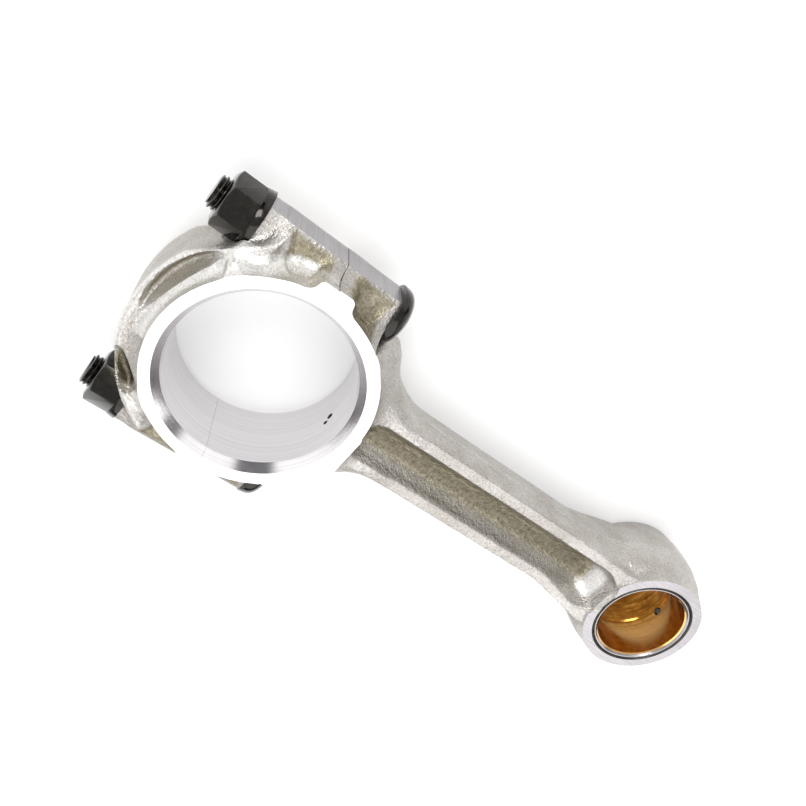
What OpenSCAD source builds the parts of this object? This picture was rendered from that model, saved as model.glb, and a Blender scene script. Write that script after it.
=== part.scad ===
// Connecting rod of a small engine: forged rod and cap, split square across the
// crankpin bore, two pressed-in bolts with nuts, and a steel-backed bronze bush.
// The origin is the middle of the crankpin bore. X runs to the small end, Z along both bores.

/* [Lengths] */
// Distance between the two bore centres
centre_distance = 162; // [158:1:172]
// Width of the big end across its thrust faces
big_width = 33.5; // [32:0.5:36]
// Width of the small end across its faces
small_width = 31; // [29:0.5:32]

/* [Big end] */
// Diameter of the bearing housing bore
big_bore_d = 56; // [54:0.5:57]
// Outer diameter of the raised thrust ring
thrust_ring_d = 67; // [66:0.5:68]
// Radius of the cap's crown
crown_r = 41.5; // [41:0.5:43]
// Thickness of the forging behind the thrust rings
web_width = 20; // [18:0.5:22]
// Distance across the two machined side flats
flats_across = 81.8; // [81:0.2:84]

/* [Bolts and nuts] */
// Distance of each bolt from the middle plane
bolt_y = 34; // [33.8:0.1:34.4]
// Bolt shank diameter
bolt_d = 10; // [9:0.5:10]
// Diameter of the D-shaped bolt head
bolt_head_d = 19; // [17:0.5:19]
// Nut size across its flats
nut_flats = 15; // [14:0.5:15.5]
// Radial clearance of the bolts in the cap and the nuts
bolt_clearance = 0.05; // [0.02:0.01:0.08]

/* [Small end] */
// Diameter of the gudgeon pin bore
pin_bore_d = 31; // [30:0.5:31]
// Outer diameter of the pressed-in bush
bush_d = 35; // [34.5:0.5:35.5]
// Diameter of the eye at its two faces
eye_d = 43; // [42:0.5:44]

/* [Beam] */
// Width of the beam at its middle plane
beam_width = 24; // [22:1:26]
// Thickness of the beam along the bores
beam_thickness = 17; // [15:1:19]
// Width of the channel in each face of the beam
channel_width = 14; // [12:1:15]
// Thickness of the beam's thin web
beam_web = 6; // [5:0.5:8]

/* [Hidden] */
$fn = 96;

hub_z = big_width / 2;
web_z = web_width / 2;
flat_y = flats_across / 2;
big_bore_r = big_bore_d / 2;
ring_r = thrust_ring_d / 2;
chamfer_r = big_bore_r + 2;
chamfer_depth = 3;

head_seat_x = 19;
nut_seat_x = -25.5;
shoulder_y = 27.8;
head_thickness = 5.5;
head_edge = 1.5;
bolt_r = bolt_d / 2;
bolt_head_r = bolt_head_d / 2;
bolt_flat_y = bolt_y - shoulder_y - 0.1;
bolt_end_x = -39.5;
collar_thickness = 2.5;
collar_r = 8.7;
nut_height = 11;
spotface_r = 9.6;

pad_half = 5.5;
pad_y = 37;
oil_pad_x = ring_r + 0.1;
oil_pad_y = 14.5;
pocket_x = [4.5, 15.5];
pocket_depth = 2.5;

flare_r = 30;
flare_x = 56;
beam_half = beam_width / 2;
channel_end_x = centre_distance - 21;
channel_start_x = 36;

small_z = small_width / 2;
eye_mid_r = eye_d / 2 + 2;
eye_flare_r = 45;
bush_r = bush_d / 2;
pin_r = pin_bore_d / 2;
lining_r = pin_r + 0.8;
bush_z = small_z - 0.2;
bush_edge = 0.7;
groove_width = 2.5;
groove_depth = 0.5;
oil_hole_r = 1.5;
squirt_hole_r = 1;
squirt_angle = -10;

steel = "silver";
blacked = "dimgray";

// A cylinder centred on the origin along Z, cut down by 45 degree edges.
module edged_disc(r, half, edge) {
    cylinder(r = r, h = 2 * (half - edge), center = true);
    for (side = [0, 1]) mirror([0, 0, side]) {
        translate([0, 0, half - edge]) cylinder(r1 = r, r2 = r - edge, h = edge);
    }
}

// The crankpin bore with its two bevelled mouths.
module big_bore() {
    cylinder(r = big_bore_r, h = big_width + 2, center = true);
    for (side = [0, 1]) mirror([0, 0, side]) {
        translate([0, 0, hub_z - chamfer_depth])
            cylinder(r1 = big_bore_r, r2 = chamfer_r, h = chamfer_depth);
    }
}

// Outline of the raised thrust face: ring, ears at the joint and the oil hole's pad.
module thrust_outline() {
    circle(r = ring_r);
    square([2 * pad_half, 2 * pad_y], center = true);
    translate([0, -oil_pad_y]) square([oil_pad_x, oil_pad_y]);
}

// One bolt boss along X, with its machined flat and bevelled corners.
module boss(x0, x1) {
    bevel = 1.3;
    flat_z = 6.2;
    translate([x0, 0, 0]) rotate([90, 0, 90]) linear_extrude(x1 - x0)
        polygon([[big_bore_r, -web_z], [flat_y - bevel, -web_z], [flat_y, -flat_z],
                 [flat_y, flat_z], [flat_y - bevel, web_z], [big_bore_r, web_z]]);
}

// Recess in both faces of a boss, between the joint and the bolt's seat.
module boss_pocket() {
    for (side = [0, 1]) mirror([0, 0, side]) {
        translate([0, 0, web_z - pocket_depth]) linear_extrude(hub_z) difference() {
            translate([pocket_x[0], big_bore_r])
                square([pocket_x[1] - pocket_x[0], flat_y - big_bore_r - 1.5]);
            circle(r = ring_r);
        }
    }
}

// The two shoulders that sweep from the bolt heads down to the beam.
module shoulder_outline() {
    difference() {
        translate([0, -shoulder_y]) square([flare_x, 2 * shoulder_y]);
        for (side = [-1, 1]) {
            translate([flare_x, side * (beam_half + flare_r)]) circle(r = flare_r);
        }
    }
}

// The sweep from the beam out to the eye.
module eye_neck_outline() {
    neck = 30;
    difference() {
        translate([centre_distance - neck, -eye_mid_r]) square([neck, 2 * eye_mid_r]);
        for (side = [-1, 1]) {
            translate([centre_distance - neck, side * (beam_half + eye_flare_r)])
                circle(r = eye_flare_r);
        }
    }
}

// Channel in both faces of the beam, rounded where it meets the eye.
module channels() {
    half = channel_width / 2;
    for (side = [0, 1]) mirror([0, 0, side]) {
        translate([0, 0, beam_web / 2]) linear_extrude(small_z) {
            translate([channel_start_x, -half])
                square([channel_end_x - half - channel_start_x, 2 * half]);
            translate([channel_end_x - half, 0]) circle(r = half);
        }
    }
}

module eye() {
    translate([centre_distance, 0, 0]) for (side = [0, 1]) mirror([0, 0, side]) {
        cylinder(r1 = eye_mid_r, r2 = eye_d / 2, h = small_z);
    }
}

// Oil hole in the tip of the eye, through the wall and the bush.
module eye_oil_hole() {
    translate([centre_distance + pin_r - 1, 0, 0]) rotate([0, 90, 0])
        cylinder(r = oil_hole_r, h = 12);
}

// Small oil hole drilled from the crankpin bore out through the shoulder.
module squirt_hole() {
    rotate([0, 0, squirt_angle]) translate([big_bore_r - 2, 0, 0]) rotate([0, 90, 0])
        cylinder(r = squirt_hole_r, h = 14);
}

module bolt_holes(r) {
    for (side = [-1, 1]) {
        translate([nut_seat_x - 20, side * bolt_y, 0]) rotate([0, 90, 0])
            cylinder(r = r, h = 70);
    }
}

module rod() color(steel) difference() {
    union() {
        intersection() {
            linear_extrude(big_width, center = true) thrust_outline();
            translate([0, -50, -50]) cube(100);
        }
        for (side = [0, 1]) mirror([0, side, 0]) difference() {
            boss(0, head_seat_x);
            boss_pocket();
        }
        linear_extrude(web_width, center = true) shoulder_outline();
        linear_extrude(beam_thickness, center = true) {
            translate([channel_start_x, -beam_half])
                square([centre_distance - channel_start_x, beam_width]);
            eye_neck_outline();
        }
        eye();
    }
    big_bore();
    bolt_holes(bolt_r);
    channels();
    translate([centre_distance, 0, 0]) cylinder(r = bush_r, h = 60, center = true);
    eye_oil_hole();
    squirt_hole();
}

// Crown of the cap: a round back whose two sides slope down to the nut seats.
module crown_outline() {
    seat_y = 29.1;
    top_y = 12.8;
    intersection() {
        circle(r = crown_r);
        polygon([[0, -seat_y], [nut_seat_x, -seat_y], [-crown_r - 1, -top_y],
                 [-crown_r - 1, top_y], [nut_seat_x, seat_y], [0, seat_y]]);
    }
}

module cap() color(steel) difference() {
    union() {
        intersection() {
            linear_extrude(big_width, center = true) {
                circle(r = ring_r);
                square([2 * pad_half, 2 * pad_y], center = true);
            }
            translate([-100, -50, -50]) cube(100);
        }
        for (side = [0, 1]) mirror([0, side, 0]) difference() {
            boss(nut_seat_x, 0);
            mirror([1, 0, 0]) boss_pocket();
        }
        linear_extrude(web_width, center = true) crown_outline();
    }
    big_bore();
    bolt_holes(bolt_r + bolt_clearance);
    for (side = [-1, 1]) {
        translate([nut_seat_x - 20, side * bolt_y, 0]) rotate([0, 90, 0])
            cylinder(r = spotface_r, h = 20);
    }
}

// A bolt along X on the side y > 0, its D-shaped head against the rod's shoulder.
module bolt() {
    tip = 1;
    translate([bolt_end_x + tip, bolt_y, 0]) rotate([0, 90, 0])
        cylinder(r = bolt_r, h = head_seat_x - bolt_end_x - tip + 1);
    translate([bolt_end_x, bolt_y, 0]) rotate([0, 90, 0])
        cylinder(r1 = bolt_r - tip, r2 = bolt_r, h = tip);
    difference() {
        translate([head_seat_x, bolt_y, 0]) rotate([0, 90, 0]) {
            cylinder(r = bolt_head_r, h = head_thickness - head_edge);
            translate([0, 0, head_thickness - head_edge])
                cylinder(r1 = bolt_head_r, r2 = bolt_head_r - head_edge, h = head_edge);
        }
        translate([head_seat_x - 1, bolt_y - bolt_flat_y - 20, -20])
            cube([20, 20, 40]);
    }
}

module bolt_a() color(blacked) bolt();

module bolt_b() color(blacked) mirror([0, 1, 0]) bolt();

// A nut with a round collar, its bore plain; turn is how far it was tightened round.
module nut(turn) {
    hex_height = nut_height - collar_thickness;
    corner_r = nut_flats / sqrt(3);
    relief = 1.2;
    spare = 0.6;
    rotate([0, -90, 0]) difference() {
        union() {
            cylinder(r = collar_r, h = collar_thickness);
            intersection() {
                translate([0, 0, collar_thickness]) rotate([0, 0, turn])
                    cylinder(r = corner_r, h = hex_height, $fn = 6);
                union() {
                    cylinder(r = corner_r + 2 * spare, h = nut_height - relief - spare);
                    translate([0, 0, nut_height - relief - spare])
                        cylinder(r1 = corner_r + 2 * spare, r2 = corner_r - 2 * relief,
                                 h = relief + spare);
                }
            }
        }
        translate([0, 0, -1])
            cylinder(r = bolt_r + bolt_clearance, h = nut_height + 2);
    }
}

module nut_a() color(blacked) translate([nut_seat_x, bolt_y, 0]) nut(44);

module nut_b() color(blacked) translate([nut_seat_x, -bolt_y, 0]) nut(57);

// Steel back of the bush, pressed into the eye.
module bush_back() color("lightgray") translate([centre_distance, 0, 0]) difference() {
    edged_disc(bush_r, bush_z, bush_edge);
    cylinder(r = lining_r, h = small_width, center = true);
    translate([-centre_distance, 0, 0]) eye_oil_hole();
}

// Bronze lining of the bush, with an oil groove round its middle.
module bush_lining() color("darkgoldenrod") translate([centre_distance, 0, 0]) difference() {
    cylinder(r = lining_r, h = 2 * bush_z, center = true);
    cylinder(r = pin_r, h = small_width, center = true);
    cylinder(r = pin_r + groove_depth, h = groove_width, center = true);
    translate([-centre_distance, 0, 0]) eye_oil_hole();
}

rod();
cap();
bolt_a();
bolt_b();
nut_a();
nut_b();
bush_back();
bush_lining();
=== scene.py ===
import math

import bpy
import numpy as np
from mathutils import Matrix, Vector, noise


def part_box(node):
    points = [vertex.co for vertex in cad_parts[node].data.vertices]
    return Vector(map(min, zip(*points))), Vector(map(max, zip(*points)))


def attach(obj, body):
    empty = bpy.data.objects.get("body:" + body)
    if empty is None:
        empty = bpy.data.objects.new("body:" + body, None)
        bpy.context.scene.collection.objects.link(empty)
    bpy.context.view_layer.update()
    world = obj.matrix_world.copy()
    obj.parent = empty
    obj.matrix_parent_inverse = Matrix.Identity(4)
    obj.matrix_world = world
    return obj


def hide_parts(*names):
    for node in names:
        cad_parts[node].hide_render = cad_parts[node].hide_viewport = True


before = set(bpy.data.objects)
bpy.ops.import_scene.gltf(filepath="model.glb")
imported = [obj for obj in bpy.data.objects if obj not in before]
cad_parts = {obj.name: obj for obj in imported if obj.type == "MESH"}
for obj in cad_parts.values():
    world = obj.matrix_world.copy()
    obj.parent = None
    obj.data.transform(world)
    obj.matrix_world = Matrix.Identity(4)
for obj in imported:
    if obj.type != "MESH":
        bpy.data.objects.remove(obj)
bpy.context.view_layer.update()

# ---- Camera, floor and studio ------------------------------------------------
# The rod lies on its lower thrust face on a plain white sheet, seen from above the cap's
# side. One broad soft box hangs overhead, a small one lights the cap, and the white room
# round them has grey gaps between its panels, which the bright metal mirrors.
MM = 0.001
floor_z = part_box("rod")[0].z


def linear(hex_colour, alpha=1.0):
    """An sRGB hex colour as linear RGBA."""
    parts = [int(hex_colour[i:i + 2], 16) / 255 for i in (1, 3, 5)]
    return [p / 12.92 if p <= 0.04045 else ((p + 0.055) / 1.055) ** 2.4 for p in parts] + [alpha]


def set_stops(ramp, stops):
    """Gives a colour ramp those (position, sRGB hex colour) stops."""
    ramp.elements.remove(ramp.elements[-1])
    for place, (position, colour) in enumerate(stops):
        end = ramp.elements.new(position) if place else ramp.elements[0]
        end.position = position
        end.color = linear(colour)


def add(tree, kind, settings=None, **inputs):
    """Adds a node. Inputs are values, sockets or nodes (for their first output), by name with _ for a
    space, or by place as in0, in1."""
    node = tree.nodes.new(kind)
    for name, value in (settings or {}).items():
        if name == "stops":
            set_stops(node.color_ramp, value)
        else:
            setattr(node, name, value)
    for name, value in inputs.items():
        by_place = name.startswith("in") and name[2:].isdigit()
        socket = node.inputs[int(name[2:])] if by_place else node.inputs[name.replace("_", " ")]
        if isinstance(value, bpy.types.Node):
            value = value.outputs[0]
        if isinstance(value, bpy.types.NodeSocket):
            tree.links.new(value, socket)
        else:
            socket.default_value = value
    return node


def mesh_piece(name, points_mm, faces):
    """A new object at the origin from points in millimetres."""
    mesh = bpy.data.meshes.new(name)
    mesh.from_pydata([tuple(p) for p in np.asarray(points_mm, float) * MM], [], faces)
    mesh.update()
    piece = bpy.data.objects.new(name, mesh)
    bpy.context.scene.collection.objects.link(piece)
    return piece


lens_at = Vector((-54.36, 110.23, 218.96)) * MM
aim = Vector((42.603, 13.024, 0)) * MM
roll = math.radians(173.60)
camera_data = bpy.data.cameras.new("camera")
camera_data.lens = 37.23
camera_data.clip_start = 0.01
camera = bpy.data.objects.new("camera", camera_data)
towards = (aim - lens_at).to_track_quat("-Z", "Y").to_matrix().to_4x4()
camera.matrix_world = Matrix.Translation(lens_at) @ towards @ Matrix.Rotation(roll, 4, "Z")
bpy.context.scene.collection.objects.link(camera)
bpy.context.scene.camera = camera

white_sheet = bpy.data.materials.new("white_paper_sheet")
white_sheet.use_nodes = True
paper = white_sheet.node_tree.nodes["Principled BSDF"]
paper.inputs["Base Color"].default_value = linear("#dadad9")
paper.inputs["Roughness"].default_value = 0.9
paper.inputs["Emission Color"].default_value = linear("#ffffff")
paper.inputs["Emission Strength"].default_value = 0.27
reach = 6000
floor = mesh_piece("floor", [(-reach, -reach, 0), (reach, -reach, 0), (reach, reach, 0), (-reach, reach, 0)],
                   [(0, 1, 2, 3)])
floor.data.transform(Matrix.Translation((0, 0, floor_z)))
floor.data.materials.append(white_sheet)

world = bpy.data.worlds.new("studio")
bpy.context.scene.world = world
world.use_nodes = True
sky = world.node_tree
sky.nodes.clear()
way = add(sky, "ShaderNodeSeparateXYZ", Vector=add(sky, "ShaderNodeTexCoord").outputs["Generated"])
overhead = add(sky, "ShaderNodeValToRGB", {"stops": ((0.25, "#a2a2a5"), (0.7, "#bfbfc1"))},
               Fac=way.outputs["Z"])
compass = add(sky, "ShaderNodeMath", {"operation": "ARCTAN2"}, in0=way.outputs["Y"], in1=way.outputs["X"])
compass = add(sky, "ShaderNodeMapRange", Value=compass, From_Min=-math.pi, From_Max=math.pi)
bright, grey = "#ffffff", "#4e4e51"
edges = ((-180, bright), (-120, bright), (-98, grey), (-30, grey), (-12, bright), (32, bright), (36, grey),
         (50, grey), (54, bright), (104, bright), (108, grey), (138, grey), (143, bright), (180, bright))
panels = add(sky, "ShaderNodeValToRGB", {"stops": [((degrees + 180) / 360, colour)
                                                   for degrees, colour in edges]}, Fac=compass)
low = add(sky, "ShaderNodeMapRange", Value=way.outputs["Z"], From_Min=0.28, From_Max=0.55,
          To_Min=0.0, To_Max=1.0)
room = add(sky, "ShaderNodeMix", {"data_type": "RGBA"}, in0=low, in6=panels, in7=overhead)
glow = add(sky, "ShaderNodeBackground", Color=room.outputs[2], Strength=1.5)
add(sky, "ShaderNodeOutputWorld", Surface=glow)


def soft_box(name, place, aim, size, power):
    """A square area light of that size and power, in metres and watts."""
    data = bpy.data.lights.new(name, "AREA")
    data.shape = "SQUARE"
    data.size = size
    data.energy = power
    light = bpy.data.objects.new(name, data)
    light.location = place
    light.rotation_euler = (Vector(aim) - Vector(place)).to_track_quat("-Z", "Y").to_euler()
    bpy.context.scene.collection.objects.link(light)


middle = (0.08, 0, 0)
soft_box("overhead", (0.34, -0.52, 0.86), middle, 1.6, 12)
soft_box("key", (-0.5, 0.75, 0.8), middle, 0.5, 7)
bpy.context.scene.view_settings.view_transform = "Standard"

# ---- Rod forging ---------------------------------------------------------------
# A drop-forged steel rod: an I-section beam between the split big end and the eye. The
# forging is shot-blasted; the bores, faces, side flats and joint are then machined.
CENTRE = round(sum(c.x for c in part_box("bush_lining")) / 2 / MM, 2)
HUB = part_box("rod")[1].z / MM
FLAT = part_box("rod")[1].y / MM
BORE = 28.0
BEVEL = 30.0
BEVEL_DEPTH = 3.0
RING = 33.4
EAR_HALF = 5.4
EAR_REACH = 36.9
BOLT_Y = 34.0
BOLT_R = 5.0
HEAD_SEAT = 19.0
SHOULDER = 27.8
BOSS_TOP = 8.9
POCKET_FLOOR = 7.1
POCKET_NEAR, POCKET_FAR = 4.2, 15.4
ARM_HALF_WIDTH = 27.6
ARM_HALF_DEPTH = 9.2
WAIST = (56, 42)
WAIST_RADIUS = 30
BEAM_HALF_WIDTH = 12.1
FLANGE_HALF_DEPTH = 8.5
NECK_HALF_DEPTH = 7.6
RISE_START, RISE_LENGTH = 118, 28
WEB_HALF = 3
CHANNEL_HALF_WIDTH = 7.1
CHANNEL_START, CHANNEL_END = 41.8, 134.4
SCOOP, SCOOP_START = 12.5, 130.5
EYE_RADIUS = 23.4
EYE_FACE = 15.5
BUSH = 17.5
OIL_HOLE = 1.5
JOINT_GAP = 0.03
NEAR = 0.02


def blend_in(a, b, k):
    """Union of two distance fields, with a fillet about k across."""
    h = np.clip(0.5 + 0.5 * (b - a) / k, 0, 1)
    return b + (a - b) * h - k * h * (1 - h)


def carve(a, b, k):
    """Field a less field b, its edge rounded about k across."""
    return -blend_in(-a, b, k)


def slab(outline, height_off, half, edge):
    """An outline's field given a thickness of 2 * half, with rounded edges."""
    u, v = outline + edge, height_off - half + edge
    return np.minimum(np.maximum(u, v), 0) + np.hypot(np.maximum(u, 0), np.maximum(v, 0)) - edge


def block(x, y, x0, x1, y0, y1, corner=0.0):
    """A rectangle's field with rounded corners."""
    u = np.abs(x - (x0 + x1) / 2) - (x1 - x0) / 2 + corner
    v = np.abs(y - (y0 + y1) / 2) - (y1 - y0) / 2 + corner
    return np.minimum(np.maximum(u, v), 0) + np.hypot(np.maximum(u, 0), np.maximum(v, 0)) - corner


def smooth(t):
    """A smooth step from 0 to 1."""
    t = np.clip(t, 0, 1)
    return t * t * (3 - 2 * t)


def thrust_hub(x, ay, az, r, pad):
    """The raised ring with its ears at the joint and, on the rod, the oil hole's pad."""
    ring = slab(r - RING - 0.05 * (HUB - az), az, HUB + 1.4, 0.5)
    ears = slab(block(x, ay, -EAR_HALF, EAR_HALF, 20, EAR_REACH, 1.6), az, HUB + 1.4, 0.5)
    hub = blend_in(ring, ears, 3.0)
    return hub if pad is None else np.minimum(hub, slab(pad, az, HUB + 1.4, 0.5))


def boss(x, ay, az, x0, x1, end):
    """A bolt boss along X: its top climbs to the ring, and a bevel runs down to the side flat, which is
    milled later."""
    tilt = math.radians(33.1)
    climb = 0.26 * (BOLT_Y - ay) + 0.08 * np.maximum(33 - ay, 0) ** 2
    dip = 1.5 * smooth((-18.5 - x) / 4)
    roof = (az - np.minimum(BOSS_TOP + climb, 15.5) + dip) * 0.95
    bevel = (ay - FLAT) * math.sin(tilt) + (az - 6.0) * math.cos(tilt)
    section = -blend_in(-roof, -bevel, 1.4)
    section = np.maximum(np.maximum(section, ay - FLAT - 0.4), 24 - ay)
    return slab(section, np.abs(x - (x0 + x1) / 2), (x1 - x0) / 2, end)


def boss_pocket(x, ay, az):
    """The recess in a boss between the joint's lug and the bolt seat, for x away from the joint."""
    far = POCKET_FAR + 0.12 * np.maximum(ay - 35, 0) ** 2
    floor_height = POCKET_FLOOR + 0.05 * np.maximum(37 - ay, 0) ** 2
    return slab(np.maximum(POCKET_NEAR - x, x - far), floor_height - az, 0, 1.5)


def beam_and_eye(x, y, ay, az):
    """The flanged beam, deeper towards the eye, blended into the barrel round the eye."""
    rise = smooth((x - RISE_START) / RISE_LENGTH)
    seam = 0.4 * np.clip(1 - az / 0.8, 0, 1)
    ends = np.maximum(30 - x, x - CENTRE)
    side = ay - (BEAM_HALF_WIDTH - 0.11 * az + seam)
    flare = 3.2 * np.clip((x - RISE_START - 2) / RISE_LENGTH, 0, 1)
    barrel = np.hypot(x - CENTRE, y) - (EYE_RADIUS - 2.2 * (az / EYE_FACE) ** 1.6)
    flanges = slab(np.maximum(side - flare, ends), az, FLANGE_HALF_DEPTH + 6.2 * rise, 0.5)
    neck = blend_in(np.maximum(side, ends), barrel, 14.0)
    body = blend_in(flanges, slab(neck, az, NECK_HALF_DEPTH + 5.0 * rise, 4.5), 0.7)
    return blend_in(body, slab(barrel, az, EYE_FACE + 1, 0.4), 0.9)


def channel(x, y, az, hub):
    """The channel in each face of the beam, which stops at the ring and scoops out towards the eye."""
    wall = np.hypot(x - np.clip(x, CHANNEL_START, CHANNEL_END), y)
    wall = wall - (CHANNEL_HALF_WIDTH + 0.5 * (az - FLANGE_HALF_DEPTH))
    scoop = SCOOP - np.sqrt(SCOOP ** 2 - np.clip(x - SCOOP_START, 0, SCOOP - 0.2) ** 2)
    return np.maximum(slab(wall, WEB_HALF + scoop - az, 0, 3.4), 0.2 - hub)


def rod_field(x, y, z):
    ay, az = np.abs(y), np.abs(z)
    hub = thrust_hub(x, ay, az, np.hypot(x, y), block(x, y, 0, 33.8, -14.2, 3, 0.8))
    waist = WAIST_RADIUS - np.hypot(x - WAIST[0], ay - WAIST[1])
    arms = np.maximum(np.maximum(ay - ARM_HALF_WIDTH, x - WAIST[0]), waist)
    arms = slab(arms, az, ARM_HALF_DEPTH, 5.5)
    body = blend_in(blend_in(beam_and_eye(x, y, ay, az), arms, 1.6), hub, 9.0)
    body = carve(body, channel(x, y, az, hub), 0.5)
    bosses = carve(boss(x, ay, az, -6, HEAD_SEAT + 1.2, 2.2), boss_pocket(x, ay, az), 1.0)
    body = blend_in(body, blend_in(bosses, hub, 7.0), 1.4)
    return np.maximum(body, -3 - x)


def gradient(field, p, step=0.04):
    """The field's slope at points."""
    slope = np.empty_like(p)
    for axis in range(3):
        shift = np.zeros(3)
        shift[axis] = step
        slope[:, axis] = (field(*(p + shift).T) - field(*(p - shift).T)) / (2 * step)
    return slope


def skin(name, field, low, high, step):
    """A closed mesh on field = 0 by surface nets, its points then pulled onto the surface."""
    low = np.array(low, float)
    counts = np.ceil((np.array(high) - low) / step).astype(int) + 1
    grids = [low[i] + step * np.arange(counts[i]) for i in range(3)]
    values = np.stack([field(np.full((1, 1), gx), grids[1][:, None], grids[2][None, :]) for gx in grids[0]])
    inside = values < 0
    corners = [(i, j, k) for i in (0, 1) for j in (0, 1) for k in (0, 1)]
    held = sum(inside[i:counts[0] - 1 + i, j:counts[1] - 1 + j, k:counts[2] - 1 + k].astype(np.int8)
               for i, j, k in corners)
    cells = np.argwhere((held > 0) & (held < 8))
    number = np.full(counts - 1, -1, np.int64)
    number[tuple(cells.T)] = np.arange(len(cells))
    total, crossings = np.zeros((len(cells), 3)), np.zeros(len(cells))
    for a in corners:
        for axis in range(3):
            if a[axis]:
                continue
            b = list(a)
            b[axis] = 1
            va, vb = values[tuple((cells + a).T)], values[tuple((cells + b).T)]
            t = np.where((va < 0) != (vb < 0), va / np.where(va == vb, 1, va - vb), np.nan)
            hit = ~np.isnan(t)
            total[hit] += np.array(a) + t[hit, None] * (np.array(b) - np.array(a))
            crossings[hit] += 1
    points = low + step * (cells + total / crossings[:, None])
    quads = []
    for axis in range(3):
        one, two = (axis + 1) % 3, (axis + 2) % 3
        first = [slice(None)] * 3
        second = [slice(None)] * 3
        first[axis], second[axis] = slice(None, -1), slice(1, None)
        change = inside[tuple(first)].astype(np.int8) - inside[tuple(second)].astype(np.int8)
        nodes = np.argwhere(change != 0)
        nodes = nodes[(nodes[:, one] > 0) & (nodes[:, two] > 0)]
        sign = change[tuple(nodes.T)]
        around = []
        for da, db in ((-1, -1), (0, -1), (0, 0), (-1, 0)):
            cell = nodes.copy()
            cell[:, one] += da
            cell[:, two] += db
            around.append(number[tuple(cell.T)])
        ring = np.stack(around, axis=1)
        ring[sign < 0] = ring[sign < 0][:, ::-1]
        quads.append(ring)
    for _ in range(4):
        slope = gradient(field, points)
        off = field(*points.T) / np.maximum((slope ** 2).sum(1), 0.05)
        points -= np.clip(off, -0.4 * step, 0.4 * step)[:, None] * slope
    return mesh_piece(name, points, np.concatenate(quads).tolist())


def roughen(piece, depth, grain):
    """Moves a forging's skin in and out by up to depth mm, over grain mm, as scale and die wear leave it."""
    mesh = piece.data
    size = len(mesh.vertices)
    co, normals = np.empty(size * 3), np.empty(size * 3)
    mesh.vertices.foreach_get("co", co)
    mesh.vertex_normals.foreach_get("vector", normals)
    co, normals = co.reshape(-1, 3), normals.reshape(-1, 3)
    spots = co / MM / grain
    swell = np.array([noise.fractal(Vector(s), 0.7, 2.1, 4) for s in spots])
    co += normals * np.clip(swell, -1.5, 1.5)[:, None] * depth * MM
    mesh.vertices.foreach_set("co", co.ravel())
    mesh.update()


def settle(piece):
    """Applies every modifier, leaving a plain mesh."""
    bpy.context.view_layer.update()
    seen = piece.evaluated_get(bpy.context.evaluated_depsgraph_get())
    mesh = bpy.data.meshes.new_from_object(seen)
    piece.modifiers.clear()
    piece.data = mesh


def machine(piece, tool, how="DIFFERENCE"):
    """Cuts the piece with a tool's shape, and removes the tool."""
    cut = piece.modifiers.new("cut", "BOOLEAN")
    cut.operation = how
    cut.solver = "MANIFOLD"
    cut.object = tool
    settle(piece)
    bpy.data.objects.remove(tool)


def turned(outline, place=(0, 0, 0), axis="Z", segments=256):
    """A solid of revolution from (radius, height) points, the first and last on the axis."""
    spin = np.linspace(0, 2 * math.pi, segments, endpoint=False)
    points, faces = [], []
    inner = outline[1:-1]
    for r, h in inner:
        points += [(r * math.cos(a), r * math.sin(a), h) for a in spin]
    for ring in range(len(inner) - 1):
        for i in range(segments):
            j = (i + 1) % segments
            faces.append((ring * segments + i, ring * segments + j,
                          (ring + 1) * segments + j, (ring + 1) * segments + i))
    faces.append(tuple(range(segments))[::-1])
    faces.append(tuple(range((len(inner) - 1) * segments, len(inner) * segments)))
    piece = mesh_piece("tool", points, faces)
    if axis == "X":
        piece.data.transform(Matrix.Rotation(math.pi / 2, 4, "Y"))
    piece.data.transform(Matrix.Translation(Vector(place) * MM))
    return piece


def cuboid(x0, x1, y0, y1, z0, z1):
    """A box between those limits."""
    points = [(x, y, z) for x in (x0, x1) for y in (y0, y1) for z in (z0, z1)]
    faces = [(0, 1, 3, 2), (4, 6, 7, 5), (0, 4, 5, 1), (2, 3, 7, 6), (0, 2, 6, 4), (1, 5, 7, 3)]
    return mesh_piece("tool", points, faces)


def crankpin_bore():
    """The bearing bore with its bevelled mouths."""
    outline = [(0, -HUB - 3), (BEVEL + 2, -HUB - 3), (BEVEL, -HUB), (BORE, -HUB + BEVEL_DEPTH),
               (BORE, HUB - BEVEL_DEPTH), (BEVEL, HUB), (BEVEL + 2, HUB + 3), (0, HUB + 3)]
    return turned(outline)


def oil_hole():
    """The drill for the oil hole through the end of the eye and the bush."""
    return turned([(0, 0), (OIL_HOLE, 0), (OIL_HOLE, 14), (0, 14)], (CENTRE + 13, 0, 0), "X", 48)


def bolt_hole(side, slack):
    """The drill for one bolt's shank, with that much room round it."""
    size = BOLT_R + slack
    return turned([(0, -70), (size, -70), (size, 30), (0, 30)], (0, side * BOLT_Y, 0), "X", 96)


def finish_faces(piece, base, rule, sharp=30):
    """Gives each face the base finish, or that of the last mask to hold it among the (mask, finish) pairs
    of rule(centres, normals), and keeps machined edges crisp."""
    mesh = piece.data
    size = len(mesh.polygons)
    centres, normals = np.empty(size * 3), np.empty(size * 3)
    mesh.polygons.foreach_get("center", centres)
    mesh.polygons.foreach_get("normal", normals)
    finishes = [base]
    which = np.zeros(size, np.int32)
    for mask, finish in rule(centres.reshape(-1, 3) / MM, normals.reshape(-1, 3)):
        if finish not in finishes:
            finishes.append(finish)
        which[mask] = finishes.index(finish)
    mesh.materials.clear()
    for finish in finishes:
        mesh.materials.append(finish)
    mesh.polygons.foreach_set("material_index", which)
    mesh.polygons.foreach_set("use_smooth", np.ones(size, bool))
    mesh.set_sharp_from_angle(angle=math.radians(sharp))
    mesh.update()


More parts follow.
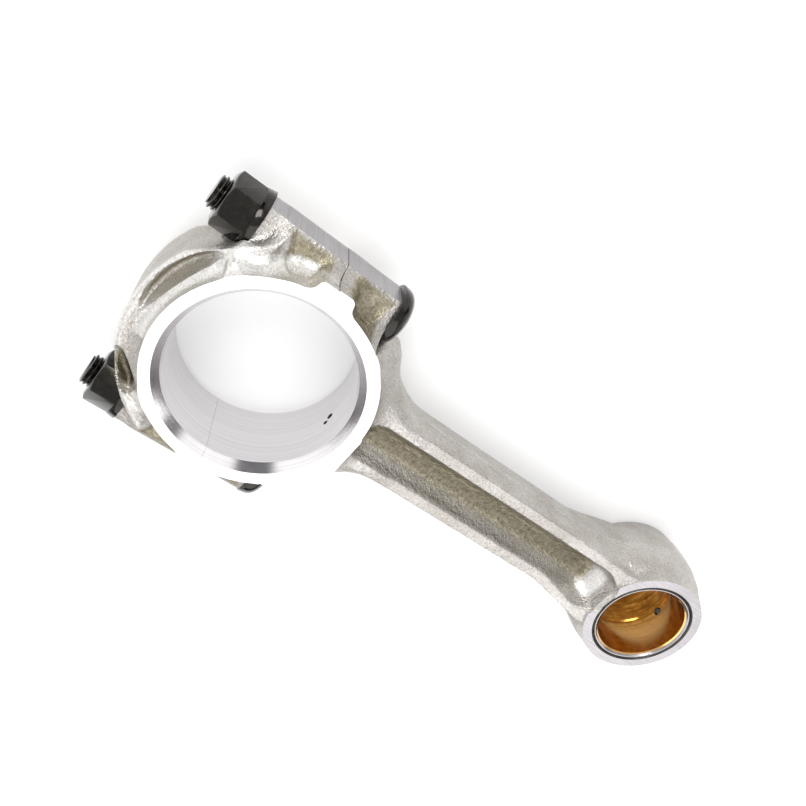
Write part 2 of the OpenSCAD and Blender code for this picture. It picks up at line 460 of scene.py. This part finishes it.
def new_finish(name, metallic=1.0):
    """A new material of that name, with its node tree and its shader."""
    finish = bpy.data.materials.new(name)
    finish.use_nodes = True
    shader = finish.node_tree.nodes["Principled BSDF"]
    shader.inputs["Metallic"].default_value = metallic
    return finish, finish.node_tree, shader


def forged_steel():
    """Shot-blasted drop-forged steel: a bright sandy grey skin that sparkles, with tan forging scale left
    where the shot didn't reach, tan to near black painted shade by the same mask, and near white painted
    highlights where the bumps are weaker."""
    finish, tree, shader = new_finish("shot_blasted_forged_steel")
    place = add(tree, "ShaderNodeTexCoord").outputs["Object"]
    grit = add(tree, "ShaderNodeTexNoise", Vector=place, Scale=1 / (0.75 * MM), Detail=2.0, Roughness=0.6)
    pits = add(tree, "ShaderNodeTexNoise", Vector=place, Scale=1 / (1.6 * MM), Detail=2.0, Roughness=0.5)
    cloud = add(tree, "ShaderNodeTexNoise", Vector=place, Scale=1 / (14 * MM), Detail=4.0, Roughness=0.6)
    sand = add(tree, "ShaderNodeTexNoise", Vector=place, Scale=1 / (0.5 * MM), Detail=4.0, Roughness=0.8)
    # The first attribute holds forging scale together with painted shade, the second painted highlights.
    scale_left = add(tree, "ShaderNodeAttribute", {"attribute_name": "scale_left"}).outputs["Fac"]
    rubbed = add(tree, "ShaderNodeAttribute", {"attribute_name": "rubbed_bright"}).outputs["Fac"]
    clean = add(tree, "ShaderNodeValToRGB", {"stops": ((0.35, "#b1aca5"), (0.7, "#c9c5c0"))}, Fac=cloud)
    tan = add(tree, "ShaderNodeValToRGB", {"stops": ((0.3, "#857e6b"), (0.75, "#aca48f"))}, Fac=pits)
    tan_share = add(tree, "ShaderNodeMapRange", Value=scale_left, From_Min=0.0, From_Max=0.6)
    # Values above 0.6 come only from painted shade and darken it towards near black.
    shade_share = add(tree, "ShaderNodeMapRange", Value=scale_left, From_Min=0.6, From_Max=1.0)
    tan_scale_and_shade = add(tree, "ShaderNodeMix", {"data_type": "RGBA"}, in0=tan_share, in6=clean, in7=tan)
    dark_scale_and_shade = add(tree, "ShaderNodeMix", {"data_type": "RGBA"}, in0=shade_share, in6=tan_scale_and_shade.outputs[2],
                 in7=linear("#2f2b25"))
    # Near white where a highlight is painted.
    colour = add(tree, "ShaderNodeMix", {"data_type": "RGBA"}, in0=rubbed, in6=dark_scale_and_shade.outputs[2],
                 in7=linear("#efede9"))
    speck = add(tree, "ShaderNodeMapRange", Value=sand, From_Min=0.36, From_Max=0.6, To_Min=0.62, To_Max=1.05)
    speckled = add(tree, "ShaderNodeMix", {"data_type": "RGBA", "blend_type": "MULTIPLY"}, in0=1.0,
                   in6=colour.outputs[2], in7=speck)
    tree.links.new(speckled.outputs[2], shader.inputs["Base Color"])
    rough = add(tree, "ShaderNodeMapRange", Value=grit, From_Min=0.3, From_Max=0.7, To_Min=0.5, To_Max=0.3)
    tree.links.new(rough.outputs[0], shader.inputs["Roughness"])
    # The bumps are weaker under the painted highlights.
    bump_under_highlight = add(tree, "ShaderNodeMapRange", Value=rubbed, To_Min=1.0, To_Max=0.25)
    fine = add(tree, "ShaderNodeBump", Strength=bump_under_highlight, Distance=0.3 * MM, Height=grit)
    coarse = add(tree, "ShaderNodeBump", Strength=bump_under_highlight, Distance=0.28 * MM, Height=pits, Normal=fine)
    tree.links.new(coarse.outputs["Normal"], shader.inputs["Normal"])
    return finish


def machined_steel(name, cut, lines, gloss=(0.2, 0.32), tones=("#918d8f", "#b3b0b1")):
    """Machined steel: brighter and smoother than the forging, with the cutter's fine lines. lines is how
    the lines run: "round" the bore axis, or along "x", "y" or "z"; cut is their spacing in mm."""
    finish, tree, shader = new_finish(name)
    place = add(tree, "ShaderNodeTexCoord").outputs["Object"]
    across = 1 / (cut * MM)
    along = across / 60
    if lines == "round":
        parts = add(tree, "ShaderNodeSeparateXYZ", Vector=place).outputs
        flat = add(tree, "ShaderNodeCombineXYZ", X=parts["X"], Y=parts["Y"])
        reach = add(tree, "ShaderNodeVectorMath", {"operation": "LENGTH"}, in0=flat).outputs["Value"]
        field = add(tree, "ShaderNodeCombineXYZ", X=reach, Z=parts["Z"])
        stretch = add(tree, "ShaderNodeMapping", Vector=field, Scale=(across,) * 3)
    else:
        sizes = [along if axis == lines else across for axis in "xyz"]
        stretch = add(tree, "ShaderNodeMapping", Vector=place, Scale=sizes)
    strokes = add(tree, "ShaderNodeTexNoise", Vector=stretch, Scale=1.0, Detail=3.0, Roughness=0.7)
    cloud = add(tree, "ShaderNodeTexNoise", Vector=place, Scale=1 / (9 * MM), Detail=3.0)
    tone = add(tree, "ShaderNodeValToRGB", {"stops": ((0.3, tones[0]), (0.7, tones[1]))}, Fac=strokes)
    tree.links.new(tone.outputs["Color"], shader.inputs["Base Color"])
    rough = add(tree, "ShaderNodeMapRange", Value=cloud, From_Min=0.3, From_Max=0.7,
                To_Min=gloss[0], To_Max=gloss[1])
    tree.links.new(rough.outputs[0], shader.inputs["Roughness"])
    bump = add(tree, "ShaderNodeBump", Strength=0.5, Distance=0.012 * MM, Height=strokes)
    tree.links.new(bump.outputs["Normal"], shader.inputs["Normal"])
    return finish


def mark(piece, name, amount):
    """Stores a value from 0 to 1 on each point under that name, by amount(x, y, z)."""
    mesh = piece.data
    co = np.empty(len(mesh.vertices) * 3)
    mesh.vertices.foreach_get("co", co)
    held = mesh.attributes.new(name, "FLOAT", "POINT")
    held.data.foreach_set("value", np.clip(amount(*(co.reshape(-1, 3) / MM).T), 0, 1).astype(np.float32))


def oily_groove():
    """The groove between bush and eye, full of dried oil and dirt: near black, dull, a little brown."""
    finish, tree, shader = new_finish("dried_oil_in_groove", 0.0)
    place = add(tree, "ShaderNodeTexCoord").outputs["Object"]
    patches = add(tree, "ShaderNodeTexNoise", Vector=place, Scale=1 / (2.0 * MM), Detail=3.0)
    tone = add(tree, "ShaderNodeValToRGB", {"stops": ((0.35, "#15130f"), (0.75, "#4b463d"))}, Fac=patches)
    tree.links.new(tone.outputs["Color"], shader.inputs["Base Color"])
    shader.inputs["Roughness"].default_value = 0.45
    return finish


forged = forged_steel()
groove_oil = oily_groove()
ground = machined_steel("ground_steel_face", 0.25, "x")
bored = machined_steel("fine_bored_steel", 0.3, "round", (0.14, 0.24), ("#c6c3c6", "#e4e2e3"))
milled = machined_steel("milled_steel_flat", 0.3, "z", (0.3, 0.42), ("#8f8b8e", "#adaaac"))
turned_bevel = machined_steel("turned_steel_bevel", 0.3, "round", (0.16, 0.26), ("#cfcccd", "#e2e0e0"))

grid_mm = 0.66
rod = skin("rod_forging", rod_field, (-4, -44, -20), (188, 44, 20), grid_mm)
roughen(rod, 0.05, 3.0)
machine(rod, cuboid(JOINT_GAP, 200, -FLAT, FLAT, -HUB, HUB), "INTERSECT")
machine(rod, crankpin_bore())
for side in (-1, 1):
    machine(rod, cuboid(HEAD_SEAT, 40, *sorted((side * SHOULDER, side * 60)), -30, 30))
    machine(rod, bolt_hole(side, 0.02))
    facing = [(0, 0), (40, 0), (40, 20), (0, 20)]
    machine(rod, turned(facing, (CENTRE, 0, EYE_FACE if side > 0 else -EYE_FACE - 20), segments=128))
chamfer = 0.45
mouth = BUSH + chamfer
machine(rod, turned([(0, -20), (mouth + 3, -20), (mouth, -EYE_FACE), (BUSH, -EYE_FACE + chamfer),
                     (BUSH, EYE_FACE - chamfer), (mouth, EYE_FACE), (mouth + 3, 20), (0, 20)],
                    (CENTRE, 0, 0)))
machine(rod, oil_hole())


def joint_notch(piece):
    """Breaks the joint's edges where it crosses the side flats."""
    for side in (-1, 1):
        machine(piece, cuboid(-0.13, 0.13, *sorted((side * (FLAT - 0.3), side * (FLAT + 1))), -30, 30))


joint_notch(rod)
oilways = ((-9.5, 1.1, -0.2), (-13.2, 0.8, 1.6))
for degrees, radius, level in oilways:
    drill = turned([(0, 0), (radius, 0), (radius, 3.5), (0, 3.5)], (BORE - 0.7, 0, level), "X", 32)
    drill.data.transform(Matrix.Rotation(math.radians(degrees), 4, "Z"))
    machine(rod, drill)


def rod_finishes(c, n):
    """Which faces of the rod are machined, by the plane or bore they lie on, and which hold oil."""
    x, y, z = c.T
    r, from_eye, az = np.hypot(x, y), np.hypot(x - CENTRE, y), np.abs(z)
    level = np.abs(n[:, 2]) > 0.9
    crankpin = (r < BEVEL + 0.1) & (x < 40)
    gap = (from_eye >= BUSH + 0.05) & (from_eye < mouth - 0.01) & (az > EYE_FACE - 0.5)
    return [((az > HUB - NEAR) & level, ground),
            (crankpin, bored),
            (crankpin & (r > BORE + 0.05), turned_bevel),
            (from_eye < BUSH + 0.05, bored),
            (gap, groove_oil),
            ((az > EYE_FACE - NEAR) & (from_eye < EYE_RADIUS + 0.6) & level, ground),
            ((np.abs(y) > FLAT - NEAR) & (np.abs(n[:, 1]) > 0.9), milled),
            (x < JOINT_GAP + NEAR, ground)]


def rod_scale_and_shade(x, y, z):
    """Forging scale in the rod's pockets; in the channel a little scale under painted shade standing in for
    the +Y flange's shadow: darker towards that flange and darkest in a strip about the middle.
    """
    ay, az = np.abs(y), np.abs(z)
    pocket = smooth((1.0 - boss_pocket(x, ay, az)) / 0.7) * smooth((ay - 27) / 3)
    trough = smooth((7 - az) / 3) * smooth((9 - ay) / 2) * smooth((x - 30) / 4) * smooth((140 - x) / 5)
    painted_shade_band = np.exp(-((y + 1.2) / 2.7) ** 2)
    # Painted shade: the shadow of the +Y flange across the channel floor.
    return 0.6 * pocket + trough * (0.08 + 0.5 * smooth((y + 1) / 3) + 0.7 * painted_shade_band)


def rod_painted_highlight(x, y, z):
    """A painted highlight on the run-out where the channel scoops up towards the eye."""
    ay, az = np.abs(y), np.abs(z)
    along = x - SCOOP_START
    run_out = smooth((along - 5) / 3) * smooth((17.5 - along) / 4) * smooth((8 - ay) / 3)
    return run_out * smooth((az - 4.5) / 2) * smooth((11 - az) / 2)


finish_faces(rod, forged, rod_finishes)
# Forging scale, and painted shade in the channel.
mark(rod, "scale_left", rod_scale_and_shade)
# Painted highlight on the channel's run-out.
mark(rod, "rubbed_bright", rod_painted_highlight)
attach(rod, "rod")
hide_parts("rod")

# ---- Bearing cap ---------------------------------------------------------------
# The other half of the big end: a forged crown with a rib between two crescent hollows,
# and a seat each side for a nut. It is machined with the rod as a pair, joint to joint.
NUT_SEAT = -25.5
SPOT_FACE = 9.6
CROWN_END = -41.5
CROWN = 41.3
CROWN_LEAN = math.radians(43.77)
CROWN_HALF_DEPTH = 11.4
HOLLOW_DEPTH = 4.4
BETWEEN_HOLLOWS = -14


def crown_hollow(r, off):
    """0 in the middle and 1 at the edge of a crown hollow, off degrees round from the crown's middle."""
    lower = off < BETWEEN_HOLLOWS
    along = np.where(lower, (off + 37) / 14, (off - 19) / 22)
    across = np.where(lower, (r - 39.2 - 0.12 * (off + 30)) / 2.9, (r - 37.9) / 2.5)
    return along ** 2 + across ** 2


def cap_field(x, y, z):
    ay, az = np.abs(y), np.abs(z)
    r = np.hypot(x, y)
    slope = (ay - 15) * math.cos(CROWN_LEAN) - (x + 40.7) * math.sin(CROWN_LEAN) - 2.4 * (y < 0)
    crown = np.maximum(np.maximum(r - CROWN, slope), x + 18.5)
    off = np.degrees(np.arctan2(y, -x))
    trough = np.clip(1 - crown_hollow(r, off), 0, 1) ** 0.75
    half_depth = CROWN_HALF_DEPTH - 0.1 * np.clip(r - 36, 0, 6) - HOLLOW_DEPTH * trough
    crown = slab(crown, az, half_depth, 1.3)
    bosses = carve(boss(x, ay, az, NUT_SEAT - 1.2, 6, 1.0), boss_pocket(-x, ay, az), 1.0)
    hub = thrust_hub(x, ay, az, r, None)
    body = blend_in(blend_in(crown, bosses, 3.0), hub, 5.0)
    return np.maximum(body, x - 3)


cap = skin("cap_forging", cap_field, (-44, -44, -20), (4, 44, 20), grid_mm * 0.75)
roughen(cap, 0.05, 3.0)
machine(cap, cuboid(CROWN_END, -JOINT_GAP, -FLAT, FLAT, -HUB, HUB), "INTERSECT")
machine(cap, crankpin_bore())
for side in (-1, 1):
    spot_facer = [(0, -20), (SPOT_FACE, -20), (SPOT_FACE, 0), (0, 0)]
    machine(cap, turned(spot_facer, (NUT_SEAT, side * BOLT_Y, 0), "X", 128))
    machine(cap, bolt_hole(side, 0.05))
joint_notch(cap)


def cap_finishes(c, n):
    """Which faces of the cap are machined, by the plane or bore they lie on."""
    x, y, z = c.T
    r = np.hypot(x, y)
    return [((np.abs(z) > HUB - NEAR) & (np.abs(n[:, 2]) > 0.9), ground),
            (r < BEVEL + 0.1, bored),
            ((r < BEVEL + 0.1) & (r > BORE + 0.05), turned_bevel),
            ((np.abs(y) > FLAT - NEAR) & (np.abs(n[:, 1]) > 0.9), milled),
            (x > -JOINT_GAP - NEAR, ground)]


def cap_scale_and_shade(x, y, z):
    """Forging scale in the cap's pockets, and painted shade in its crown hollows: over all the lower one, and
    on the outer side of the upper one under the ridge's wall.
    """
    ay, az = np.abs(y), np.abs(z)
    r, off = np.hypot(x, y), np.degrees(np.arctan2(y, -x))
    pocket = smooth((1.0 - boss_pocket(-x, ay, az)) / 0.7) * smooth((ay - 27) / 3)
    hollow = smooth(1.6 - 1.3 * np.sqrt(crown_hollow(r, off)))
    # Painted shade in the crown hollows.
    shaded_side = np.where(off < BETWEEN_HOLLOWS, 0.8, 0.5 * smooth((r - 37.3) / 1.4))
    return 0.6 * pocket + shaded_side * hollow * smooth((az - 5) / 1)


def cap_painted_highlight(x, y, z):
    """Painted highlights: beside the nut seats, on the crown's outer ridge and on the inner side of its upper
    hollow.
    """
    ay, az = np.abs(y), np.abs(z)
    r, off = np.hypot(x, y), np.degrees(np.arctan2(y, -x))
    seat = smooth((-19 - x) / 3) * smooth((ay - 22) / 3) * smooth((33 - ay) / 4)
    ridge = smooth((r - 39) / 1.5)
    high = np.maximum(seat, ridge) * smooth((az - 8) / 1.5)
    inner_side = smooth((38.0 - r) / 1.5) * (off > BETWEEN_HOLLOWS) * (az > 5)
    return 0.75 * np.maximum(high, inner_side)


finish_faces(cap, forged, cap_finishes)
# Forging scale, and painted shade in the crown hollows.
mark(cap, "scale_left", cap_scale_and_shade)
# Painted highlights on the cap.
mark(cap, "rubbed_bright", cap_painted_highlight)
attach(cap, "cap")
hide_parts("cap")

# ---- Gudgeon pin bush ------------------------------------------------------------
# A split bush rolled from bronze-lined steel strip, pressed into the eye and bored to the
# pin: a bright steel edge round a honed gold bronze bore with an oil groove and one oil hole.
PIN = 15.5
LINING = PIN + 0.5
bush_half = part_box("bush_back")[1].z / MM


def tube(name, outline, segments=256):
    """A closed ring turned from (radius, height) points that go round its section."""
    spin = np.linspace(0, 2 * math.pi, segments, endpoint=False)
    rows = len(outline)
    points = [(CENTRE + r * math.cos(a), r * math.sin(a), h) for a in spin for r, h in outline]
    faces = []
    for i in range(segments):
        j = (i + 1) % segments
        for k in range(rows):
            m = (k + 1) % rows
            faces.append((i * rows + k, i * rows + m, j * rows + m, j * rows + k))
    return mesh_piece(name, points, faces)


def bronze_lining():
    """Leaded bronze, honed: gold-brown, fairly glossy, streaked darker round the bore, with patches of wear
    and a painted highlight that makes it brighter towards the top."""
    finish, tree, shader = new_finish("honed_bronze_lining")
    place = add(tree, "ShaderNodeTexCoord").outputs["Object"]
    centred = add(tree, "ShaderNodeMapping", Vector=place, Location=(-CENTRE * MM, 0, 0))
    streak = add(tree, "ShaderNodeMapping", Vector=centred, Scale=(90, 90, 1 / (1.2 * MM)))
    lines = add(tree, "ShaderNodeTexNoise", Vector=streak, Scale=1.0, Detail=4.0, Roughness=0.65)
    wear = add(tree, "ShaderNodeTexNoise", Vector=centred, Scale=1 / (5 * MM), Detail=4.0, Roughness=0.65)
    both = add(tree, "ShaderNodeMath", {"operation": "MULTIPLY"}, in0=lines, in1=wear)
    golds = ((0.12, "#6b4515"), (0.25, "#a5702a"), (0.42, "#dba757"))
    tone = add(tree, "ShaderNodeValToRGB", {"stops": golds}, Fac=both)
    height = add(tree, "ShaderNodeSeparateXYZ", Vector=centred).outputs["Z"]
    # Painted highlight: the lining is painted brighter towards its top.
    highlight_share = add(tree, "ShaderNodeMapRange", Value=height, From_Min=-1 * MM, From_Max=5 * MM,
                 To_Min=0.0, To_Max=0.55)
    painted_highlight_gold = add(tree, "ShaderNodeMix", {"data_type": "RGBA"}, in0=highlight_share, in6=tone, in7=linear("#ffd28c"))
    tree.links.new(painted_highlight_gold.outputs[2], shader.inputs["Base Color"])
    rough = add(tree, "ShaderNodeMapRange", Value=wear, From_Min=0.3, From_Max=0.7, To_Min=0.1, To_Max=0.24)
    tree.links.new(rough.outputs[0], shader.inputs["Roughness"])
    bump = add(tree, "ShaderNodeBump", Strength=0.25, Distance=0.01 * MM, Height=lines)
    tree.links.new(bump.outputs["Normal"], shader.inputs["Normal"])
    return finish


def bush_finishes(c, n):
    """The outer chamfers of the steel back hold oil."""
    return [((np.hypot(c[:, 0] - CENTRE, c[:, 1]) > BUSH - 0.4) & (np.abs(n[:, 2]) < 0.9), groove_oil)]


bush_back = tube("bush_steel_back", [
    (LINING, -bush_half + 0.5), (LINING + 0.5, -bush_half), (BUSH - 0.7, -bush_half),
    (BUSH, -bush_half + 0.7),
    (BUSH, bush_half - 0.7), (BUSH - 0.7, bush_half), (LINING + 0.5, bush_half), (LINING, bush_half - 0.5)])
machine(bush_back, oil_hole())
finish_faces(bush_back, machined_steel("rolled_bush_steel", 0.3, "y"), bush_finishes)
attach(bush_back, "rod")
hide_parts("bush_back")

lining = tube("bush_bronze_lining", [
    (PIN, -bush_half + 0.9), (LINING - 0.01, -bush_half + 0.52), (LINING - 0.01, bush_half - 0.52),
    (PIN, bush_half - 0.9), (PIN, 1.6), (PIN + 0.42, 1.15), (PIN + 0.42, -1.1), (PIN, -1.6)])
machine(lining, oil_hole())
finish_faces(lining, bronze_lining(), lambda c, n: [])
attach(lining, "rod")
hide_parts("bush_lining")

# ---- Bolts -----------------------------------------------------------------------
# Two high-tensile steel bolts, pressed in from the beam's side: a D-shaped domed head whose
# flat stops against the shoulder, a plain shank and a rolled M10 x 1.25 thread, blacked in oil.
THREAD_PITCH = 1.25
THREAD_DEPTH = 0.7
bolt_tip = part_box("bolt_a")[0].x / MM
head_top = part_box("bolt_a")[1].x / MM


def blacked_steel():
    """Black-oxided steel: near black with a brown cast and an oily gloss."""
    finish, tree, shader = new_finish("blacked_oiled_steel")
    place = add(tree, "ShaderNodeTexCoord").outputs["Object"]
    mottle = add(tree, "ShaderNodeTexNoise", Vector=place, Scale=1 / (1.5 * MM), Detail=4.0, Roughness=0.65)
    tone = add(tree, "ShaderNodeValToRGB", {"stops": ((0.3, "#120f0b"), (0.75, "#28231b"))}, Fac=mottle)
    tree.links.new(tone.outputs["Color"], shader.inputs["Base Color"])
    rough = add(tree, "ShaderNodeMapRange", Value=mottle, From_Min=0.3, From_Max=0.7,
                To_Min=0.14, To_Max=0.26)
    tree.links.new(rough.outputs[0], shader.inputs["Roughness"])
    shader.inputs["Coat Weight"].default_value = 0.6
    shader.inputs["Coat Roughness"].default_value = 0.1
    shader.inputs["Coat IOR"].default_value = 1.5
    bump = add(tree, "ShaderNodeBump", Strength=0.35, Distance=0.03 * MM, Height=mottle)
    tree.links.new(bump.outputs["Normal"], shader.inputs["Normal"])
    return finish


blacked = blacked_steel()


def new_tree(name, sizes):
    """A Geometry Nodes tree with those named float inputs and a mesh output."""
    tree = bpy.data.node_groups.new(name, "GeometryNodeTree")
    tree.interface.new_socket("Geometry", in_out="INPUT", socket_type="NodeSocketGeometry")
    for label, value in sizes.items():
        socket = tree.interface.new_socket(label, in_out="INPUT", socket_type="NodeSocketFloat")
        socket.default_value = value
    tree.interface.new_socket("Geometry", in_out="OUTPUT", socket_type="NodeSocketGeometry")
    return tree


MATHS = "ShaderNodeMath"
times, plus, less, over = [{"operation": name} for name in ("MULTIPLY", "ADD", "SUBTRACT", "DIVIDE")]


def bolt_tree():
    """Shank, thread and tip are one cylinder along Z whose radius follows the thread; the head is
    domed the same way and cut by its flat. All sizes are in metres."""
    tree = new_tree("bolt", {"Radius": BOLT_R * MM, "Length": (HEAD_SEAT - bolt_tip) * MM,
                             "Thread Length": 26 * MM, "Pitch": THREAD_PITCH * MM,
                             "Depth": THREAD_DEPTH * MM, "Head Radius": 9.5 * MM,
                             "Head Height": (head_top - HEAD_SEAT) * MM,
                             "Flat": (BOLT_Y - SHOULDER - 0.1) * MM})
    size = add(tree, "NodeGroupInput").outputs
    spot = add(tree, "GeometryNodeInputPosition")
    place = add(tree, "ShaderNodeSeparateXYZ", Vector=spot).outputs
    half_length = add(tree, MATHS, times, in0=size["Length"], in1=0.5)
    along = add(tree, MATHS, plus, in0=place["Z"], in1=half_length)
    pitches = add(tree, MATHS, over, in0=along, in1=size["Pitch"])
    angle = add(tree, MATHS, {"operation": "ARCTAN2"}, in0=place["Y"], in1=place["X"])
    turns = add(tree, MATHS, over, in0=angle, in1=2 * math.pi)
    phase = add(tree, MATHS, plus, in0=pitches, in1=turns)
    wave = add(tree, MATHS, {"operation": "PINGPONG"}, in0=phase, in1=0.5)
    ridge = add(tree, MATHS, times, in0=wave, in1=2.7)
    ridge = add(tree, MATHS, {"operation": "SMOOTH_MIN"}, in0=ridge, in1=1.0, in2=0.15)
    groove = add(tree, MATHS, less, in0=1.0, in1=ridge)
    run_out = add(tree, MATHS, less, in0=size["Thread Length"], in1=size["Pitch"])
    fade = add(tree, "ShaderNodeMapRange", Value=along, From_Min=run_out, From_Max=size["Thread Length"],
               To_Min=1.0, To_Max=0.0)
    groove = add(tree, MATHS, times, in0=groove, in1=fade)
    groove = add(tree, MATHS, times, in0=groove, in1=size["Depth"])
    point = add(tree, MATHS, less, in0=size["Depth"], in1=along)
    point = add(tree, MATHS, {"operation": "MAXIMUM"}, in0=point, in1=0.0)
    radius = add(tree, MATHS, less, in0=size["Radius"], in1=groove)
    radius = add(tree, MATHS, less, in0=radius, in1=point)
    share = add(tree, MATHS, over, in0=radius, in1=size["Radius"])
    squeeze = add(tree, "ShaderNodeCombineXYZ", X=share, Y=share, Z=1.0)
    threaded = add(tree, "ShaderNodeVectorMath", {"operation": "MULTIPLY"}, in0=spot, in1=squeeze)
    shank = add(tree, "GeometryNodeMeshCylinder", {"fill_type": "NGON"}, Vertices=48,
                Side_Segments=460, Radius=size["Radius"], Depth=size["Length"])
    shank = add(tree, "GeometryNodeSetPosition", Geometry=shank, Position=threaded)
    down = add(tree, MATHS, times, in0=half_length, in1=-1.0)
    down = add(tree, "ShaderNodeCombineXYZ", Z=down)
    shank = add(tree, "GeometryNodeTransform", Geometry=shank, Translation=down)
    half_head = add(tree, MATHS, times, in0=size["Head Height"], in1=0.5)
    up = add(tree, MATHS, plus, in0=place["Z"], in1=half_head)
    up = add(tree, MATHS, over, in0=up, in1=size["Head Height"])
    up = add(tree, MATHS, {"operation": "MAXIMUM"}, in0=up, in1=0.0)
    fall = add(tree, MATHS, {"operation": "POWER"}, in0=up, in1=3.2)
    fall = add(tree, MATHS, times, in0=fall, in1=0.72)
    dome = add(tree, MATHS, less, in0=1.0, in1=fall)
    dome = add(tree, MATHS, {"operation": "SQRT"}, in0=dome)
    squeeze = add(tree, "ShaderNodeCombineXYZ", X=dome, Y=dome, Z=1.0)
    domed = add(tree, "ShaderNodeVectorMath", {"operation": "MULTIPLY"}, in0=spot, in1=squeeze)
    head = add(tree, "GeometryNodeMeshCylinder", {"fill_type": "NGON"}, Vertices=96, Side_Segments=18,
               Radius=size["Head Radius"], Depth=size["Head Height"])
    head = add(tree, "GeometryNodeSetPosition", Geometry=head, Position=domed)
    seat = add(tree, "ShaderNodeCombineXYZ", Z=half_head)
    head = add(tree, "GeometryNodeTransform", Geometry=head, Translation=seat)
    knife_size = 0.04
    knife = add(tree, "GeometryNodeMeshCube", Size=(knife_size,) * 3)
    aside = add(tree, MATHS, times, in0=size["Flat"], in1=-1.0)
    aside = add(tree, MATHS, less, in0=aside, in1=knife_size / 2)
    aside = add(tree, "ShaderNodeCombineXYZ", Y=aside)
    knife = add(tree, "GeometryNodeTransform", Geometry=knife, Translation=aside)
    flatted = add(tree, "GeometryNodeMeshBoolean", {"operation": "DIFFERENCE", "solver": "MANIFOLD"},
                  in0=head, in1=knife)
    whole = add(tree, "GeometryNodeMeshBoolean", {"operation": "UNION", "solver": "MANIFOLD"}, in1=shank)
    tree.links.new(flatted.outputs[0], whole.inputs[1])
    real = add(tree, "GeometryNodeRealizeInstances", Geometry=whole)
    painted = add(tree, "GeometryNodeSetMaterial", Geometry=real, Material=blacked)
    add(tree, "NodeGroupOutput", in0=painted)
    return tree


def grown(name, tree, place, edge_mm, sizes=None):
    """A piece grown by a tree with those sizes, its edges rounded, then set in place by a matrix."""
    piece = mesh_piece(name, [(0, 0, 0)], [])
    grow = piece.modifiers.new("grow", "NODES")
    grow.node_group = tree
    for item in tree.interface.items_tree:
        if sizes and item.in_out == "INPUT" and item.name in sizes:
            grow[item.identifier] = sizes[item.name]
    edge = piece.modifiers.new("edge", "BEVEL")
    edge.width = edge_mm * MM
    edge.segments = 2
    edge.limit_method = "ANGLE"
    edge.angle_limit = math.radians(38)
    settle(piece)
    piece.data.transform(place)
    piece.data.polygons.foreach_set("use_smooth", np.ones(len(piece.data.polygons), bool))
    piece.data.set_sharp_from_angle(angle=math.radians(35))
    return piece


bolts = bolt_tree()
for name, side in (("bolt_a", 1), ("bolt_b", -1)):
    seat = Matrix.Translation(Vector((HEAD_SEAT, side * BOLT_Y, 0)) * MM)
    flat_inwards = Matrix.Rotation(0 if side > 0 else math.pi, 4, "Z")
    stand = seat @ Matrix.Rotation(math.pi / 2, 4, "Y") @ flat_inwards
    piece = grown(name + "_blacked", bolts, stand, 0.18)
    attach(piece, "rod")
    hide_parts(name)

# ---- Nuts ------------------------------------------------------------------------
# Two forged M10 nuts with a round collar under the hexagon, tightened down on the cap's
# spot-faced seats and blacked like the bolts; each stopped at its own angle.
collar_mm = 2.5
nut_top = -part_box("nut_a")[0].x / MM + NUT_SEAT


def nut_tree():
    """A hexagon cut by a chamfering cone, joined to its collar and bored through, along Z."""
    tree = new_tree("nut", {"Across Flats": 15 * MM, "Height": nut_top * MM, "Collar Radius": 9.3 * MM,
                            "Collar Height": collar_mm * MM, "Bore Radius": (BOLT_R + 0.05) * MM,
                            "Turn": 0.0})
    size = add(tree, "NodeGroupInput").outputs
    corner = add(tree, MATHS, over, in0=size["Across Flats"], in1=math.sqrt(3))
    hexagon = add(tree, "GeometryNodeMeshCylinder", {"fill_type": "NGON"}, Vertices=6, Radius=corner,
                  Depth=size["Height"])
    half_height = add(tree, MATHS, times, in0=size["Height"], in1=0.5)
    lift = add(tree, "ShaderNodeCombineXYZ", Z=half_height)
    spin = add(tree, "ShaderNodeCombineXYZ", Z=size["Turn"])
    hexagon = add(tree, "GeometryNodeTransform", Geometry=hexagon, Translation=lift, Rotation=spin)
    top_radius = add(tree, MATHS, times, in0=size["Across Flats"], in1=0.47)
    spread = add(tree, MATHS, times, in0=size["Height"], in1=1.75)
    foot_radius = add(tree, MATHS, plus, in0=top_radius, in1=spread)
    blank = add(tree, "GeometryNodeMeshCone", {"fill_type": "NGON"}, Vertices=128, Radius_Top=top_radius,
                Radius_Bottom=foot_radius, Depth=size["Height"])
    chamfered = add(tree, "GeometryNodeMeshBoolean", {"operation": "INTERSECT", "solver": "MANIFOLD"},
                    in1=hexagon)
    tree.links.new(blank.outputs[0], chamfered.inputs[1])
    taper = add(tree, MATHS, times, in0=size["Collar Radius"], in1=0.95)
    collar = add(tree, "GeometryNodeMeshCone", {"fill_type": "NGON"}, Vertices=128, Radius_Top=taper,
                 Radius_Bottom=size["Collar Radius"], Depth=size["Collar Height"])
    joined = add(tree, "GeometryNodeMeshBoolean", {"operation": "UNION", "solver": "MANIFOLD"},
                 in1=chamfered)
    tree.links.new(collar.outputs[0], joined.inputs[1])
    bore = add(tree, "GeometryNodeMeshCylinder", {"fill_type": "NGON"}, Vertices=96,
               Radius=size["Bore Radius"], Depth=0.05)
    bored_out = add(tree, "GeometryNodeMeshBoolean", {"operation": "DIFFERENCE", "solver": "MANIFOLD"},
                    in0=joined, in1=bore)
    real = add(tree, "GeometryNodeRealizeInstances", Geometry=bored_out)
    painted = add(tree, "GeometryNodeSetMaterial", Geometry=real, Material=blacked)
    add(tree, "NodeGroupOutput", in0=painted)
    return tree


nuts = nut_tree()
for name, side, turn in (("nut_a", 1, -14), ("nut_b", -1, 33)):
    seat = Matrix.Translation(Vector((NUT_SEAT, side * BOLT_Y, 0)) * MM)
    stand = seat @ Matrix.Rotation(-math.pi / 2, 4, "Y")
    piece = grown(name + "_blacked", nuts, stand, 0.35, {"Turn": math.radians(90 - turn)})
    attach(piece, name)
    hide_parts(name)
